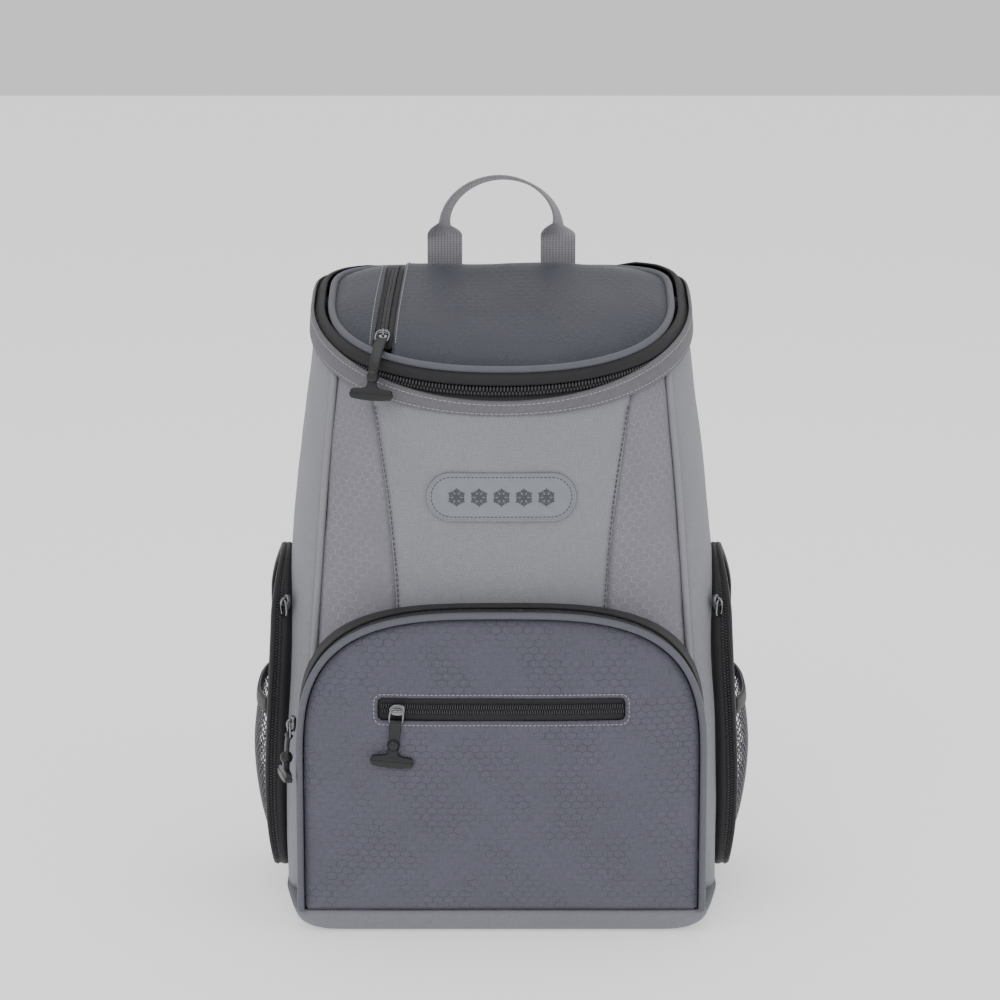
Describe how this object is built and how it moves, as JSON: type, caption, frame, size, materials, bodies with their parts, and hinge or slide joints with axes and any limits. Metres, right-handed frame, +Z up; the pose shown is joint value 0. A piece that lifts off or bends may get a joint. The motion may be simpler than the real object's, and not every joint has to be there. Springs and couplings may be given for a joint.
{
  "type": "cooler backpack",
  "caption": "Insulated cooler backpack with a sloping zipped lid, arched front pocket, side pockets with mesh sleeves, webbing grab handle and padded shoulder straps.",
  "frame": {"origin": "on the ground under the middle of the whole bag", "axes": "+Z up, -Y towards the front pocket, +X to the wearer's right, with the bag standing on its base"},
  "size_m": [0.348, 0.247, 0.4959],
  "materials": {
    "grey_fabric": "matt plain-woven polyester, padded and insulated",
    "patterned_fabric": "matt ripstop with a honeycomb pattern",
    "pocket_fabric": "dark grey ripstop with a honeycomb pattern",
    "lid_fabric": "dark grey ripstop with a faint sheen",
    "piping": "corded piping, slightly glossy",
    "webbing": "ribbed woven webbing",
    "zip_tape": "black woven tape",
    "zip_chain": "black coil teeth",
    "slider_metal": "bright plated metal",
    "pull_rubber": "soft black rubber",
    "mesh": "open dark net",
    "badge_rubber": "soft grey rubber with a raised rim",
    "buckle_plastic": "black moulded plastic"
  },
  "bodies": {
    "root": {"back_panel": "grey_fabric", "badge": "badge_rubber", "base_panel": "grey_fabric", "body_piping_left": "piping", "body_piping_right": "piping", "front_centre_panel": "grey_fabric", "front_side_panel_left": "patterned_fabric", "front_side_panel_right": "patterned_fabric", "front_zip_chain": "zip_chain", "front_zip_pull": "pull_rubber", "front_zip_slider": "slider_metal", "front_zip_tape": "zip_tape", "grab_handle": "webbing", "lid_hinge": "grey_fabric", "lid_piping": "piping", "lid_pocket_panel": "lid_fabric", "lid_pocket_zip_chain": "zip_chain", "lid_pocket_zip_pull": "pull_rubber", "lid_pocket_zip_slider": "slider_metal", "lid_pocket_zip_tape": "zip_tape", "lid_top_panel": "lid_fabric", "mesh_pocket_hem_left": "zip_tape", "mesh_pocket_hem_right": "zip_tape", "mesh_pocket_left": "mesh", "mesh_pocket_right": "mesh", "pocket_gusset_left": "grey_fabric", "pocket_gusset_right": "grey_fabric", "pocket_panel": "pocket_fabric", "pocket_piping": "piping", "pocket_zip_back_tape": "zip_tape", "pocket_zip_chain": "zip_chain", "pocket_zip_front_tape": "zip_tape", "pocket_zip_pull": "pull_rubber", "pocket_zip_slider": "slider_metal", "rim_hem": "grey_fabric", "rim_zip_chain": "zip_chain", "rim_zip_lower_tape": "zip_tape", "rim_zip_pull": "pull_rubber", "rim_zip_slider": "slider_metal", "rim_zip_upper_tape": "zip_tape", "shoulder_strap_left": "grey_fabric", "shoulder_strap_right": "grey_fabric", "side_gusset_left": "grey_fabric", "side_gusset_right": "grey_fabric", "side_pocket_left_slider": "slider_metal", "side_pocket_panel_left": "grey_fabric", "side_pocket_panel_right": "grey_fabric", "side_pocket_right_slider": "slider_metal", "side_pocket_zip_chain_left": "zip_chain", "side_pocket_zip_chain_right": "zip_chain", "side_pocket_zip_tape_left": "zip_tape", "side_pocket_zip_tape_right": "zip_tape", "strap_buckle_left": "buckle_plastic", "strap_buckle_right": "buckle_plastic", "strap_tab_left": "grey_fabric", "strap_tab_right": "grey_fabric", "strap_webbing_left": "webbing", "strap_webbing_right": "webbing", "strap_yoke": "grey_fabric"}
  },
  "joints": []
}
